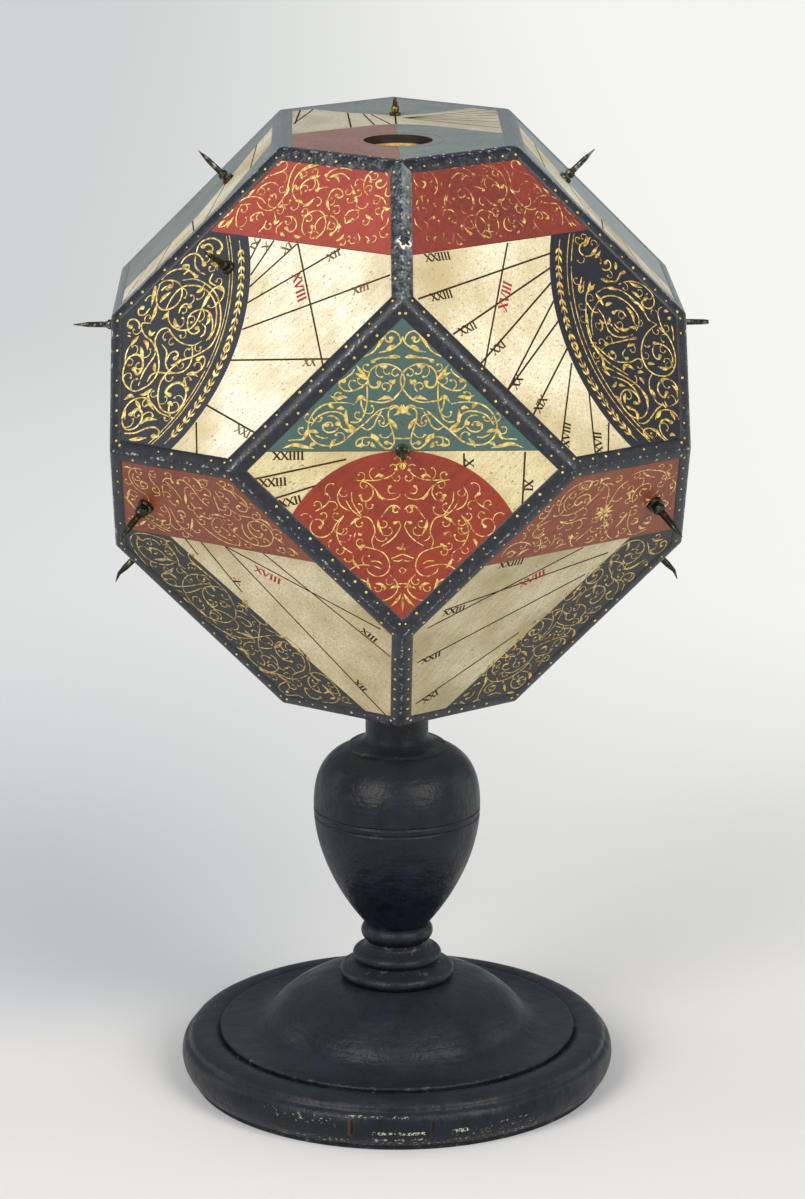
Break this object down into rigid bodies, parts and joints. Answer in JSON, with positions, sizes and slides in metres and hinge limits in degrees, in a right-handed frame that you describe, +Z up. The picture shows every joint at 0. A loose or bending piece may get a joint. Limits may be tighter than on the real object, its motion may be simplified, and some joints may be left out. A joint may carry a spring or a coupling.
{
  "type": "polyhedral sundial",
  "caption": "Painted wooden polyhedral sundial: a hollow head of mitred square and hexagonal dial boards, each with a pin gnomon, turning on a turned baluster stand, with a compass in its top.",
  "frame": {"origin": "centre of the foot's underside, on the floor", "axes": "+Z up along the stand's axis, -Y the way the front dial looks, +X to the viewer's right"},
  "size_m": [0.24, 0.24, 0.3834],
  "materials": {
    "painted_board": "painted over a white ground, matt",
    "edge_strip": "painted black, worn, satin",
    "gnomon_metal": "darkened",
    "stand_paint": "painted blue-black, worn, satin",
    "bare_wood": "bare",
    "compass_brass": "turned",
    "card": "matt",
    "needle_steel": "blued",
    "glass": "clear"
  },
  "bodies": {
    "stand": {"foot_base": "stand_paint", "foot_dome": "stand_paint", "baluster": "stand_paint"},
    "head": {"socket_block": "bare_wood", "square_edge_strips": "edge_strip", "hexagon_edge_strips": "edge_strip", "compass_cup": "bare_wood", "compass_bowl": "compass_brass", "compass_card": "card", "compass_pivot": "compass_brass", "compass_glass": "glass", "compass_ring": "compass_brass", "board_front": "painted_board", "board_back": "painted_board", "board_upper_left": "painted_board", "board_lower_right": "painted_board", "board_upper_right": "painted_board", "board_lower_left": "painted_board", "board_top": "painted_board", "board_bottom": "painted_board", "board_left": "painted_board", "board_right": "painted_board", "board_front_upper_left": "painted_board", "board_front_upper_right": "painted_board", "board_front_lower_left": "painted_board", "board_front_lower_right": "painted_board", "board_back_upper_left": "painted_board", "board_back_upper_right": "painted_board", "board_back_lower_left": "painted_board", "board_back_lower_right": "painted_board", "gnomon_front": "gnomon_metal", "gnomon_back": "gnomon_metal", "gnomon_upper_left": "gnomon_metal", "gnomon_lower_right": "gnomon_metal", "gnomon_upper_right": "gnomon_metal", "gnomon_lower_left": "gnomon_metal", "gnomon_top": "gnomon_metal", "gnomon_left": "gnomon_metal", "gnomon_right": "gnomon_metal", "gnomon_front_upper_left": "gnomon_metal", "gnomon_front_lower_left": "gnomon_metal", "gnomon_front_lower_right": "gnomon_metal", "gnomon_back_upper_left": "gnomon_metal", "gnomon_back_upper_right": "gnomon_metal", "gnomon_back_lower_left": "gnomon_metal", "gnomon_back_lower_right": "gnomon_metal"},
    "needle": {"compass_needle": "needle_steel", "needle_cap": "compass_brass"}
  },
  "joints": [
    {"name": "head_turn", "type": "hinge", "parent": "stand", "child": "head", "pos_m": [0, 0, 0.2], "axis": [0, 0, 1], "continuous": true},
    {"name": "needle_turn", "type": "hinge", "parent": "head", "child": "needle", "pos_m": [0, -0.02551, 0.3662], "axis": [0, 0, 1], "continuous": true}
  ]
}
